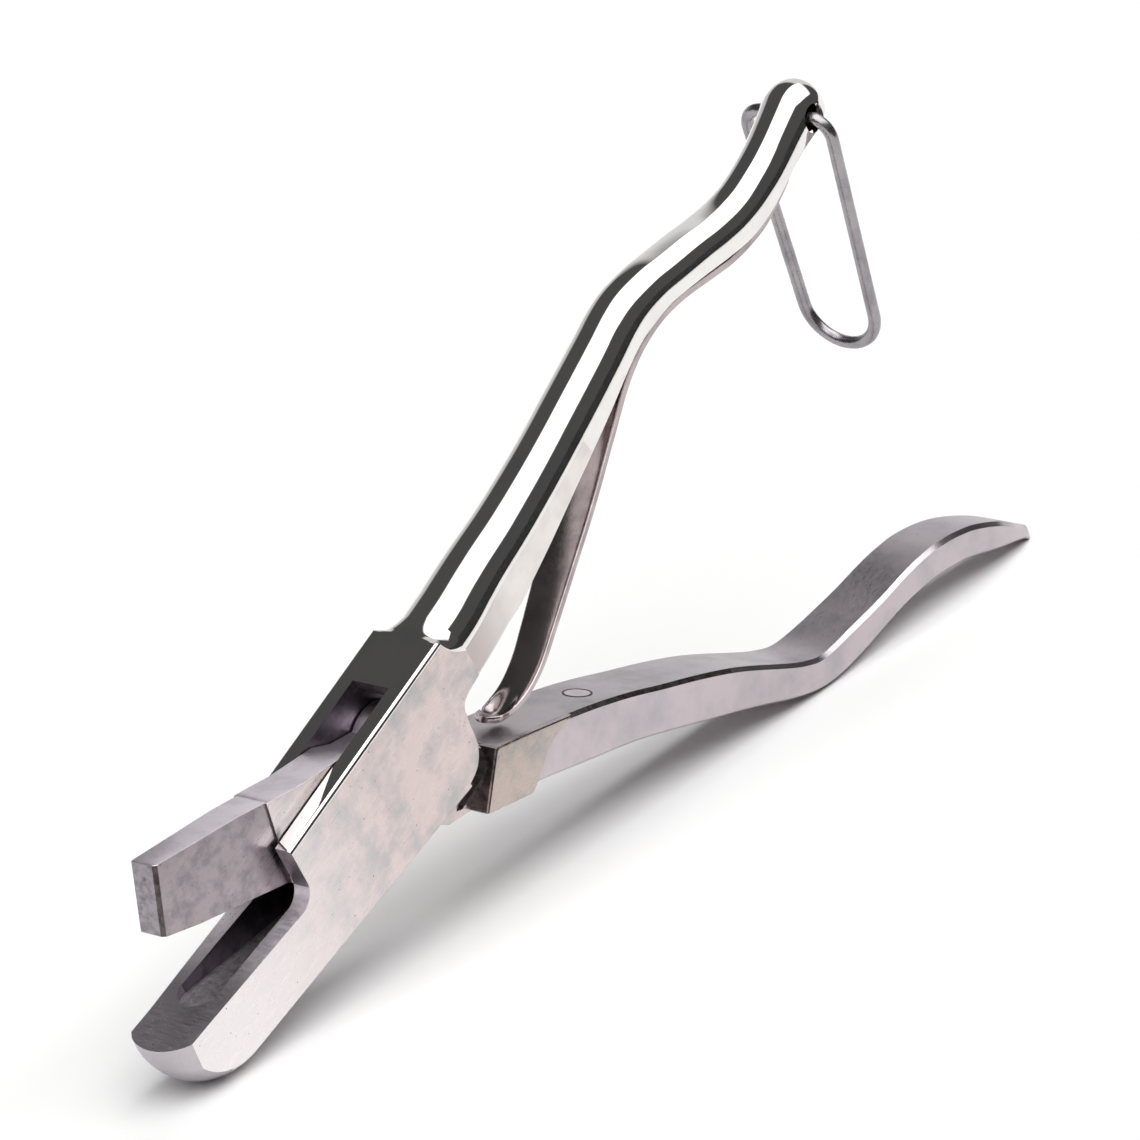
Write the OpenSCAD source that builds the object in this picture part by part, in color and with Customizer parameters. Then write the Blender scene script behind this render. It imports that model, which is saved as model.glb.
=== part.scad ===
// Notching pliers: a frame with a die jaw and two cheeks, and a punch lever that passes between them.
// The part stands on the nose of the die and on the elbow of the lower handle, upper handle raised.
// Outlines are drawn in a side plane through the pivot: X runs back to the handles, Z is up from
// the jaw, Y lies along the pivot. The last lines turn that plane onto the ground and centre it.

/* [Frame] */
// Width across the cheeks and the jaw
frame_w = 16; // [15.5:0.25:16.5]
// Height of the cheek tops above the pivot
cheek_top = 15; // [14.5:0.25:15.5]
// Distance from the pivot forward to the step in front of the cheeks
step_back = 38.4; // [37.5:0.1:39.5]
// Radius of the hollow at the foot of the step
step_fillet = 4; // [3:0.5:5]
// Bevel along the top edges of the cheeks
cheek_bevel = 0.9; // [0.5:0.1:1.2]
// Width of the slot between the cheeks
mortise_w = 8.6; // [8.4:0.1:9]

/* [Die jaw] */
// Slope of the die face and of the jaw's underside, falling to the rear
jaw_slope = 5.8; // [5:0.1:6.5]
// Depth of the die face below the pivot
die_drop = 1.64; // [1.4:0.1:1.9]
// Radius of the nose seen from above
nose_r = 9.2; // [8.8:0.1:9.8]
// Half width of the jaw where the nose begins
nose_half = 7.5; // [7.2:0.1:8]
// Half width of the jaw there on the side away from the viewer, ground back further
nose_far_half = 6.5; // [6.2:0.1:7.5]
// Distance from the pivot to the centre of that radius
nose_back = 73; // [72:0.1:74]
// Radius of the jaw's underside across its width
under_r = 8.9; // [8.9:0.1:9.3]
// Depth of that radius' centre below the pivot
under_drop = 9.9; // [9.6:0.1:10.2]
// Distance of that centre from the middle plane, to the near side
under_side = 0.9; // [0:0.1:0.9]
// Depth below the pivot of the centre the nose is domed about
dome_drop = 0.8; // [0.6:0.1:1.4]
// Distance from the pivot to that centre
dome_back = 65; // [63.8:0.1:65.4]
// Distance from the pivot to the front end of the die recess
recess_back = 70; // [69:0.25:71]
// Depth of the die recess at its front end
recess_depth = 1.2; // [1:0.1:1.5]

/* [Lever] */
// Thickness of the punch bar and of the web in the slot
web_w = 8; // [7.6:0.1:8]
// Width of the punch ahead of its shoulder
punch_w = 6.4; // [6:0.1:6.8]
// Width of the block behind the cheeks
block_w = 16.8; // [16:0.2:17]
// Radius of the web around the pivot
boss_r = 8.4; // [8:0.1:8.6]

/* [Pin and rivets] */
// Radius of the pivot pin
pin_r = 4; // [3.5:0.25:4.5]
// Running gap around the pin in the lever
pin_gap = 0.05; // [0.03:0.01:0.08]
// Radius of the disc rivet in the lower handle
disc_r = 2.95; // [2.5:0.05:3.2]
// Depth of the disc rivet
disc_depth = 5; // [4:0.5:6]
// Shank radius of the spring's rivet
rivet_r = 1.5; // [1.25:0.25:1.75]
// Head radius of the spring's rivet
rivet_head_r = 2.6; // [2.4:0.1:3]
// Head height of the spring's rivet
rivet_head_h = 0.9; // [0.7:0.1:1.2]

/* [Leaf spring] */
// Thickness at the fixed end
leaf_t = 1.8; // [1.6:0.1:1.8]
// Thickness at the free tip
leaf_tip_t = 1.4; // [1.2:0.1:1.5]
// Radius of the pressed cup that rides on the lever
cup_r = 3.35; // [3.2:0.05:3.35]
// Wall thickness of the cup
cup_wall = 1.2; // [1:0.1:1.3]

/* [Bail] */
// Radius of the wire
wire_r = 1.3; // [1.2:0.05:1.4]
// Radius of the hole in the handle end
bail_hole_r = 2.4; // [2.3:0.1:2.6]
// Centreline length from the hole to the bottom of the loop
bail_len = 55.9; // [52:1:58]
// Centreline radius of the round bottom
bail_bottom_r = 8.6; // [8.4:0.1:9]
// Centreline radius of the two top corners
bail_corner_r = 4.5; // [4:0.25:4.5]
// Inward lean of each leg
bail_lean = 2.2; // [1.5:0.1:2.5]
// Angle of the loop from the frame's length, seen from the near side
bail_angle = -100; // [-110:1:-95]
// Distance the loop has slid to the far side in its hole
bail_slide = 1.7; // [0:0.1:2]

/* [Hidden] */
$fn = 96;
half_w = frame_w / 2;
slot_half = mortise_w / 2;
reach = 60;

// Points on a smooth curve through the given points, each span cut into n steps.
function knot(p, i) = p[max(0, min(len(p) - 1, i))];
function blend(a, b, c, d, t) =
    0.5 * (2 * b + (c - a) * t + (2 * a - 5 * b + 4 * c - d) * t * t
    + (3 * b - a - 3 * c + d) * t * t * t);
function smooth(p, n) = [
    for (i = [0:len(p) - 2]) for (k = [0:n - 1])
        blend(knot(p, i - 1), p[i], p[i + 1], knot(p, i + 2), k / n),
    p[len(p) - 1]
];
function flip(p) = [for (i = [len(p) - 1:-1:0]) p[i]];
function arc(c, r, a, b, n) = [
    for (i = [0:n]) c + r * [cos(a + (b - a) * i / n), sin(a + (b - a) * i / n)]
];
function spin(p, a) = [p[0] * cos(a) - p[1] * sin(a), p[0] * sin(a) + p[1] * cos(a)];
function normal(p, i) =
    let (d = knot(p, i + 1) - knot(p, i - 1))
    [-d[1], d[0]] / norm(d);

// Jaw lines, in the side plane
jaw_along = [cos(jaw_slope), -sin(jaw_slope)];
jaw_up = [sin(jaw_slope), cos(jaw_slope)];
function jaw_point(u, n) = u * jaw_along + n * jaw_up;
function die_z(x) = (-die_drop - x * jaw_up[0]) / jaw_up[1];
step_foot = die_z(-step_back) + 0.2;

// Outline of the cheeks from the step round the back to the underside
toe = smooth([[14.8, cheek_top], [15.3, 13.4], [16.3, 11.1], [17.9, 9.1], [19.9, 7.8]], 3);
cheek_rear = smooth([[16.2, 0.2], [13.6, -0.8], [12.6, -4], [11.8, -10.6], [9.4, -14], [6, -15.2]], 3);
frame_side = concat(
    [[-2 * nose_back, die_z(-2 * nose_back)]],
    arc([-step_back - step_fillet, step_foot + step_fillet], step_fillet, -90 - jaw_slope, 0, 8),
    [[-step_back, cheek_top]],
    toe,
    [[19.9, 0.6]],
    cheek_rear,
    [[6, -reach], [-2 * nose_back, -reach]]
);

// Plan of the frame: the jaw narrows to the nose, more on the far side
frame_plan = [
    [-2 * nose_back, -nose_half], [-nose_back, -nose_half], [-step_back, -half_w], [reach, -half_w],
    [reach, half_w], [-step_back, half_w], [-nose_back, nose_far_half], [-2 * nose_back, nose_far_half]
];

// Arch section of the upper handle: [x, z, crown radius, depth below the crown's centre]
handle_knots = [
    [14, 7.0, 8.0, 6.9], [20, 7.0, 8.0, 6.6], [26, 7.3, 7.85, 6.5], [32, 8.1, 7.55, 6.8],
    [38, 8.7, 7.3, 7.2], [48.7, 9.4, 7.0, 5.9], [62.9, 11.2, 6.7, 4.3], [76.6, 13.6, 6.6, 3.2],
    [88, 15.8, 6.4, 2.1], [94, 17.1, 6.3, 2.1], [99, 17.5, 6.2, 2.5], [105.5, 16.5, 6.1, 2.1],
    [111, 14.9, 6.1, 1.9], [119.5, 12.4, 6.0, 2.2], [126, 10.3, 5.9, 2.4], [132.5, 8.7, 5.8, 2.7],
    [139, 8.0, 5.6, 2.7], [145.5, 8.3, 5.6, 2.1], [151, 9.2, 5.6, 1.6], [156, 10.4, 5.8, 2.1],
    [161, 11.6, 6.2, 2.9]
];
end_len = 7.3;
end_steps = 6;
handle_run = smooth(handle_knots, 3);
last = len(handle_run) - 1;
end_dir = [cos(13), sin(13)];
handle_end = [
    for (i = [1:end_steps])
        let (a = 88 * i / end_steps, k = pow(cos(a), 0.8), p = handle_run[last])
        [p[0] + end_len * sin(a) * end_dir[0], p[1] + end_len * sin(a) * end_dir[1],
         p[2] * k, p[3] * k]
];
handle_all = concat(handle_run, handle_end);
crown_steps = 16;
foot_round = 0.6;
function arch(r, d) = concat(
    [for (i = [0:crown_steps]) r * [cos(180 * i / crown_steps), sin(180 * i / crown_steps)]],
    let (f = foot_round * r / 8)
    [[-r, f - d], [f - r, -d], [r - f, -d], [r, f - d]]
);

// Slot between the cheeks and the recess it runs into, seen from the side
recess_front = [-recess_back, die_z(-recess_back) - recess_depth];
slot_exit = [-5, -17.6];
slot_side = [
    [-2 * nose_back, reach], [2.2, reach], [2.2, 14], [3.0, 11.5], [4.8, 8.8], [8.9, 3.6],
    [13.2, -0.4], [20, -3.5], [20, -reach], [slot_exit[0], -reach], slot_exit, recess_front,
    [-2 * nose_back, recess_front[1]]
];

// Lever outline: top of the bar, round the pivot, inner face, tip and back along the underside
bar_top = [[-62.5, 36.8], [-41.5, 27.0], [-33.3, 22.8], [-25.4, 18.7], [-14, 13.9]];
block_front = [[15.4, -15.2], [5.9, -24.2]];
lever_inner = smooth([
    block_front[0], [26, -21.7], [36, -28.1], [44.5, -33.9], [52.5, -39.9], [60, -46.0],
    [70.4, -54.3], [80.7, -63.3], [93.6, -76.3], [98, -80.3], [101.5, -82.9], [106, -84.7], [114, -86.9],
    [124, -89.4], [134, -91.4], [141.6, -93.6], [146.1, -95.5], [151.9, -98.7], [158.2, -103.3],
    [165.5, -110.3], [171.6, -117.7], [174.8, -121.8]
], 3);
lever_under = smooth([
    [172.9, -124], [170.6, -121.3], [166.4, -117.8], [160.2, -113.1], [152.4, -107],
    [147.5, -103.9], [139.9, -100.1], [132.5, -97.6], [125.7, -95.9], [112.8, -93.6], [104, -91.2],
    [97, -87.9], [89.4, -82.3], [78.9, -73.4], [65.2, -62.5], [48.4, -49.4], [34, -39.8], [20, -30.7],
    [9, -25], [2, -21.4]
], 3);
bar_under = [[-37, 4.2], [-45, 9.2], [-60, 18], [-68.5, 23.7]];
shoulder_top = [-34.9, 23.5];
shoulder_foot = [-38.5, 5.1];
web_side = concat(
    [shoulder_top, bar_top[3], bar_top[4], [-9.8, 10.4]],
    arc([0, 0], boss_r, 118, 18, 10),
    block_front,
    [[0, -21.6], [-4, -17.2], [-20, -7], bar_under[0], shoulder_foot]
);
punch_side = concat(
    [bar_top[0], bar_top[1], bar_top[2], bar_top[3], [-25.4, 0]], bar_under
);
block_side = concat(
    [block_front[0], [26, -21.7], [36, -28.1]],
    smooth([[36, -28.1], [30.5, -27.6], [26.6, -28], [23.2, -29.6], [20.6, -30.8], [18.2, -31.6]], 3),
    [block_front[1]]
);
// Half width of the punch bar ahead of its shoulder
punch_half = [
    [-70, punch_w / 2 - 0.4], [-62, punch_w / 2 - 0.3], [-34, punch_w / 2 + 0.4], [-20, punch_w / 2 + 0.4]
];
// Half width of the lower handle along its length
lever_half = smooth([
    [2, 4], [15.6, 4], [15.7, 8], [40, 8], [60, 7.8], [75, 7.6], [90, 7.3], [100, 6.8], [112, 6.3],
    [125, 6.2], [146, 6.0], [153, 5.7], [160, 5.1], [165, 4.5], [170, 3.4], [174, 1.9], [176, 0.9]
], 2);

// Leaf spring: lower surface from the fixed end to the tip, and half widths along it
leaf_under = smooth([
    [152, 5.9], [145.5, 4.15], [139, 3.25], [133, 3.8], [126, 5.4], [119.5, 7.8], [111.3, 10.8],
    [106, 12.2], [101.5, 12.8], [97.5, 12.7], [94, 12.2], [90.2, 11.1], [86.6, 9.4], [83.8, 7.7],
    [79.9, 5.2], [75.1, 2.2], [70.3, -0.9], [64.3, -4.5], [57.7, -8.1], [50.5, -12.1],
    [44.9, -15.2], [38.6, -18.4], [33, -19.8], [28, -19.6], [24, -18.4], [21.2, -16.6]
], 3);
leaf_last = len(leaf_under) - 1;
leaf_over = [
    for (i = [0:leaf_last])
        let (t = leaf_t + (leaf_tip_t - leaf_t) * i / leaf_last)
        leaf_under[i] - t * normal(leaf_under, i)
];
leaf_half = smooth([
    [152.8, 2], [151.6, 3.6], [149, 4.3], [140, 4.5], [130, 5], [120, 5.4], [90, 5.4], [76, 5],
    [58, 4.4], [45, 3.9],
    [38, 3.7], [32, 3.5], [28, 3.4], [25.4, 3.1], [23.8, 2.3], [22.8, 0.9]
], 3);
cup_touch = [24.8, -21];
cup_dir = spin([0, 1], -32.5);
cup_centre = cup_touch + 3.4 * cup_dir;

// Seat of the spring's rivet, square to the handle's underside
rivet_at = [142.6, 5.55];
rivet_lean = -5;
rivet_reach = 3.5;

disc_at = [45.7, -34.8];
disc_lean = 35.5;

hole_at = [161.1, 11.8];
bail_at = [161.5, 11.15];
leg_len = (bail_len - bail_corner_r * (1 + sin(bail_lean)) - bail_bottom_r * (1 - sin(bail_lean)))
    / cos(bail_lean);
// Legs run a little into the bends, eased so that they stay inside them
leg_lap = 0.2;
leg_ease = 0.01;
corner_out = (bail_bottom_r - bail_corner_r) * cos(bail_lean) + leg_len * sin(bail_lean);

// Ground line under the nose and the lowest point of the lower handle
nose_round = jaw_point(-dome_back, -dome_drop);
dome_r = under_drop - dome_drop + under_r;
tilt = -min([
    for (p = lever_under)
        let (d = p - nose_round)
        atan2(d[1], d[0]) + asin(dome_r / norm(d))
]);
ground_up = [sin(tilt), cos(tilt)];
ground_along = [cos(tilt), -sin(tilt)];
lift = dome_r - nose_round * ground_up;
front_x = jaw_point(-nose_back - nose_r, -die_drop) * ground_along;
back_x = max([for (p = lever_inner) p * ground_along]);
shift = -(front_x + back_x) / 2;

// Rounded mouth of the bail's hole: [distance from the middle plane, radius]
mouth = [
    [4.4, 0], [4.4, bail_hole_r], [4.8, bail_hole_r + 0.08], [5.2, bail_hole_r + 0.3],
    [5.6, bail_hole_r + 0.7], [6, bail_hole_r + 1.2], [6.6, bail_hole_r + 2], [6.6, 0]
];

// Turns the side plane's parts onto the ground, centred across on the loop, the widest piece
module stance() {
    translate([shift, -bail_slide, lift])
        rotate([0, -tilt, 0])
            children();
}

// Side outline given thickness along the pivot, centred on the middle plane
module plate(points, w) {
    rotate([90, 0, 0])
        linear_extrude(height = w, center = true)
            polygon(points);
}

// Outline seen from above, mirrored about the middle plane, as a tall block
module plan_block(half) {
    tall_block(concat(half, [for (p = flip(half)) [p[0], -p[1]]]));
}

module tall_block(points) {
    translate([0, 0, -3 * reach])
        linear_extrude(height = 4 * reach)
            polygon(points);
}

// Section of the jaw across its width: flat sides with a rounded underside, apex to the right
module under_section(centre) {
    translate([0, -half_w])
        square([centre, frame_w]);
    intersection() {
        translate([centre, -under_side])
            circle(r = under_r);
        translate([centre, -half_w])
            square([under_r, frame_w]);
    }
}

// Jaw with its underside rounded across, domed under the round nose
module jaw_form() {
    rotate([0, jaw_slope, 0])
        intersection() {
            union() {
                translate([-dome_back, 0, -dome_drop])
                    rotate([-90, 0, 0])
                        rotate_extrude()
                            under_section(under_drop - dome_drop);
                translate([-dome_back, 0, reach])
                    rotate([0, 90, 0])
                        linear_extrude(height = 2 * dome_back)
                            under_section(reach + under_drop);
            }
            union() {
                translate([-nose_back, 0, -reach])
                    cylinder(r = nose_r, h = 2 * reach);
                translate([-nose_back, -half_w, -reach])
                    cube([4 * nose_back, frame_w, 2 * reach]);
            }
        }
}

// Long bar with the two bevelled top edges of the cheeks
module cheek_bar() {
    translate([-3 * reach, 0, 0])
        rotate([90, 0, 90])
            linear_extrude(height = 5 * reach)
                polygon([
                    [-half_w, -reach], [half_w, -reach], [half_w, cheek_top - cheek_bevel],
                    [half_w - cheek_bevel, cheek_top], [cheek_bevel - half_w, cheek_top],
                    [-half_w, cheek_top - cheek_bevel]
                ]);
}

// Upper handle: the arch section carried along its bent line
module upper_handle() {
    count = len(handle_all);
    size = crown_steps + 5;
    line = [for (p = handle_all) [p[0], p[1]]];
    rings = [
        for (i = [0:count - 1])
            let (c = line[i], n = normal(line, i))
            for (q = arch(min(half_w, handle_all[i][2]), handle_all[i][3]))
                [c[0] + q[1] * n[0], q[0], c[1] + q[1] * n[1]]
    ];
    polyhedron(
        points = rings,
        faces = concat(
            [[for (k = [0:size - 1]) k]],
            [for (i = [0:count - 2]) for (k = [0:size - 1])
                let (a = i * size + k, b = i * size + (k + 1) % size)
                [a, a + size, b + size, b]],
            [[for (k = [size - 1:-1:0]) (count - 1) * size + k]]
        )
    );
}

// Slot between the cheeks with the round-ended recess in the die
module mortise() {
    intersection() {
        plate(slot_side, mortise_w);
        union() {
            translate([slot_half - recess_back, 0, -reach])
                cylinder(r = slot_half, h = 3 * reach);
            translate([slot_half - recess_back, -slot_half, -reach])
                cube([2 * recess_back, mortise_w, 3 * reach]);
        }
    }
}

module cross_bore(at, r, w) {
    translate([at[0], 0, at[1]])
        rotate([90, 0, 0])
            cylinder(r = r, h = w, center = true);
}

module hole_mouths() {
    translate([hole_at[0], 0, hole_at[1]])
        for (s = [-90, 90])
            rotate([s, 0, 0])
                rotate_extrude()
                    polygon([for (p = mouth) [p[1], p[0]]]);
}

module frame() {
    color([0.72, 0.71, 0.70])
        stance()
            difference() {
                union() {
                    intersection() {
                        plate(frame_side, 2 * frame_w);
                        tall_block(frame_plan);
                        jaw_form();
                        cheek_bar();
                    }
                    upper_handle();
                }
                mortise();
                cross_bore([0, 0], pin_r, 2 * frame_w);
                cross_bore(hole_at, bail_hole_r, 2 * frame_w);
                hole_mouths();
                rivet_shank();
            }
}

module lever() {
    color([0.66, 0.63, 0.65])
        stance()
            difference() {
                union() {
                    intersection() {
                        plate(punch_side, web_w);
                        plan_block(punch_half);
                    }
                    plate(web_side, web_w);
                    plate(block_side, block_w);
                    intersection() {
                        plate(concat(lever_inner, lever_under), 2 * frame_w);
                        plan_block(lever_half);
                    }
                }
                cross_bore([0, 0], pin_r + pin_gap, 2 * frame_w);
                disc_hole();
            }
}

module disc_hole() {
    translate([disc_at[0], 0, disc_at[1]])
        rotate([0, disc_lean, 0])
            translate([0, 0, -disc_depth])
                cylinder(r = disc_r, h = 2 * disc_depth);
}

module lever_rivet() {
    color([0.68, 0.65, 0.67])
        stance()
            intersection() {
                disc_hole();
                plate(concat(lever_inner, lever_under), frame_w);
            }
}

module pivot_pin() {
    color([0.70, 0.69, 0.69])
        stance()
            cross_bore([0, 0], pin_r, frame_w);
}

module rivet_shank() {
    translate([rivet_at[0], 0, rivet_at[1]])
        rotate([0, rivet_lean, 0])
            translate([0, 0, -leaf_t - 1])
                cylinder(r = rivet_r, h = leaf_t + 1 + rivet_reach);
}

module spring_rivet() {
    drop = leaf_t + 0.35;
    color([0.70, 0.69, 0.69])
        stance()
            translate([rivet_at[0], 0, rivet_at[1]])
                rotate([0, rivet_lean, 0])
                    translate([0, 0, -drop]) {
                        cylinder(r = rivet_r, h = drop + rivet_reach);
                        rotate_extrude()
                            polygon([
                                [0, 0], [rivet_head_r, 0], [rivet_head_r, -rivet_head_h / 3],
                                [rivet_head_r * 0.75, -rivet_head_h], [0, -rivet_head_h]
                            ]);
                    }
}

module leaf_spring() {
    color([0.52, 0.50, 0.51])
        stance()
            difference() {
                union() {
                    intersection() {
                        plate(concat(leaf_under, flip(leaf_over)), 2 * frame_w);
                        plan_block(leaf_half);
                    }
                    intersection() {
                        translate([cup_centre[0], 0, cup_centre[1]])
                            sphere(r = cup_r);
                        plate(concat(leaf_over, [[21, -reach], [60, -reach], [151, -reach]]), frame_w);
                    }
                }
                translate([cup_centre[0], 0, cup_centre[1]])
                    sphere(r = cup_r - cup_wall);
                rivet_shank();
            }
}

// Wire bends lie in a plane through the hole: first across, then down the loop
module bail() {
    c = bail_corner_r;
    color([0.60, 0.59, 0.60])
        stance()
            translate([bail_at[0], bail_slide, bail_at[1]])
                rotate([0, -bail_angle - 90, 0]) {
                    rotate([90, 0, 0])
                        cylinder(r = wire_r, h = 2 * corner_out, center = true);
                    for (s = [0, 180])
                        rotate([0, 0, s]) {
                            translate([0, corner_out, -c])
                                rotate([0, -90, 0])
                                    rotate_extrude(angle = 90 + bail_lean)
                                        translate([c, 0])
                                            circle(r = wire_r);
                            translate([0, corner_out + c * cos(bail_lean), -c * (1 + sin(bail_lean))])
                                rotate([180 - bail_lean, 0, 0])
                                    translate([0, 0, -leg_lap])
                                        cylinder(r = wire_r - leg_ease, h = leg_len + 2 * leg_lap);
                        }
                    translate([0, 0, bail_bottom_r - bail_len])
                        rotate([0, 90, 0])
                            rotate([0, 0, -90 + bail_lean])
                                rotate_extrude(angle = 180 - 2 * bail_lean)
                                    translate([bail_bottom_r, 0])
                                        circle(r = wire_r);
                }
}

frame();
lever();
pivot_pin();
leaf_spring();
spring_rivet();
lever_rivet();
bail();
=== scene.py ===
"""Notching pliers: a slotted frame with a die jaw, a punch lever, a leaf spring and a wire bail.

Shapes are drawn in millimetres in the side plane through the pivot: X runs back to the handles, Y
along the pivot away from the viewer, Z up from the jaw. SidePlane turns them onto the ground.
"""

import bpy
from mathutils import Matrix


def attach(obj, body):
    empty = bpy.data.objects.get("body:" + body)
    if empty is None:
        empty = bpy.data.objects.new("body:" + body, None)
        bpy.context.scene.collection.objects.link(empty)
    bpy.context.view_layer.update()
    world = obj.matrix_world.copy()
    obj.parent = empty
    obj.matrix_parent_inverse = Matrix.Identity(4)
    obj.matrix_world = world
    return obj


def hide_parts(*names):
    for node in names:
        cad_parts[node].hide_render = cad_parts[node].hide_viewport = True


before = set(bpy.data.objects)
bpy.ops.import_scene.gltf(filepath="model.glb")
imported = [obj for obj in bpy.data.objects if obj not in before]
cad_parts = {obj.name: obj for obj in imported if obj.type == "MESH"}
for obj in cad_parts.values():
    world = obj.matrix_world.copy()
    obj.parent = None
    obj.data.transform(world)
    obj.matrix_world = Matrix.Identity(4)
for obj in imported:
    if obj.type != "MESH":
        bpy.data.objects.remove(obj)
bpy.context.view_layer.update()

import logging
import math
from dataclasses import dataclass, field
from enum import Enum
from typing import Callable, ClassVar, Sequence

import bmesh
import bpy
from mathutils import Matrix, Vector

log = logging.getLogger("notching_pliers")
Point = tuple[float, float]
Curve = list[Point]
Colour = tuple[float, float, float]
DENSE = 6
MM_PER_M = 1000.0
# How far the cutters reach: up, down and back, and ahead of the nose.
REACH = 60.0
FRONT = -120.0


def spline(points: Sequence[Sequence[float]], steps: int) -> list[tuple[float, ...]]:
    """Puts a smooth curve through the given points.

    Args:
        points: Knots, each of any number of values.
        steps: Spans that each stretch between two knots is cut into.

    Returns:
        The points along the curve, first and last knot included.
    """
    out: list[tuple[float, ...]] = []
    last = len(points) - 1
    for i in range(last):
        a, b, c, d = (points[max(0, min(last, i + k))] for k in (-1, 0, 1, 2))
        for k in range(steps):
            t = k / steps
            out.append(tuple(
                0.5 * (2 * q + (r - p) * t + (2 * p - 5 * q + 4 * r - s) * t * t
                       + (3 * q - p - 3 * r + s) * t ** 3)
                for p, q, r, s in zip(a, b, c, d)))
    out.append(tuple(points[last]))
    return out


def arc(centre: Point, radius: float, start: float, stop: float, steps: int) -> Curve:
    """Points on an arc, with its angles in degrees."""
    turn = [math.radians(start + (stop - start) * i / steps) for i in range(steps + 1)]
    return [(centre[0] + radius * math.cos(t), centre[1] + radius * math.sin(t)) for t in turn]


def resample(points: Sequence[Point], count: int) -> Curve:
    """Spaces points evenly along an open line.

    Args:
        points: The line.
        count: Number of points wanted, ends included.

    Returns:
        The evenly spaced points.
    """
    run = [0.0]
    for p, q in zip(points, points[1:]):
        run.append(run[-1] + math.dist(p, q))
    out: Curve = []
    k = 0
    for i in range(count):
        s = run[-1] * i / (count - 1)
        while k < len(run) - 2 and run[k + 1] < s:
            k += 1
        t = (s - run[k]) / max(1e-9, run[k + 1] - run[k])
        p, q = points[k], points[k + 1]
        out.append((p[0] + (q[0] - p[0]) * t, p[1] + (q[1] - p[1]) * t))
    return out


def along(table: Sequence[Point], x: float) -> float:
    """Reads a value between the rows of a table.

    Args:
        table: Rows of (place, value), places rising.
        x: Place to read at.

    Returns:
        The value at x, or that of the nearest row beyond either end.
    """
    if x <= table[0][0]:
        return table[0][1]
    for (a, u), (b, v) in zip(table, table[1:]):
        if x <= b:
            return u + (v - u) * (x - a) / (b - a)
    return table[-1][1]


def add_node(tree: bpy.types.NodeTree, kind: str,
             values: dict[str, object] | None = None) -> bpy.types.Node:
    """Adds a shader node.

    Args:
        tree: Node tree that it joins.
        kind: Blender's name of the node type.
        values: Input names and the values that they are set to.

    Returns:
        The new node.
    """
    node = tree.nodes.new(kind)
    for name, value in (values or {}).items():
        node.inputs[name].default_value = value
    return node


def two_stops(node: bpy.types.Node, first: tuple[float, Colour],
              last: tuple[float, Colour]) -> None:
    """Sets the two ends of a colour ramp.

    Args:
        node: The colour ramp.
        first: Place and colour of its first stop.
        last: Place and colour of its last stop.
    """
    for element, (place, colour) in zip(node.color_ramp.elements, (first, last)):
        element.position = place
        element.color = (*colour, 1.0)


@dataclass(frozen=True)
class SidePlane:
    """Where the side plane of the drawing stands on the ground, in degrees and millimetres."""

    tilt: float = 24.826
    shift: float = -66.3054
    lift: float = 39.9462
    side: float = -1.7

    @property
    def matrix(self) -> Matrix:
        """Turns millimetres in the side plane into metres in the row frame."""
        place = Matrix.Translation((self.shift, self.side, self.lift))
        turn = Matrix.Rotation(math.radians(-self.tilt), 4, "Y")
        return Matrix.Scale(1.0 / MM_PER_M, 4) @ place @ turn


PLANE = SidePlane()


class Grain(Enum):
    """Way the polishing or grinding marks run, as a stretch of the marks along X, Y and Z."""

    LENGTHWISE = (0.06, 1.0, 1.0)
    CROSSWISE = (1.0, 0.06, 1.0)
    UPRIGHT = (1.0, 1.0, 0.06)


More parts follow.
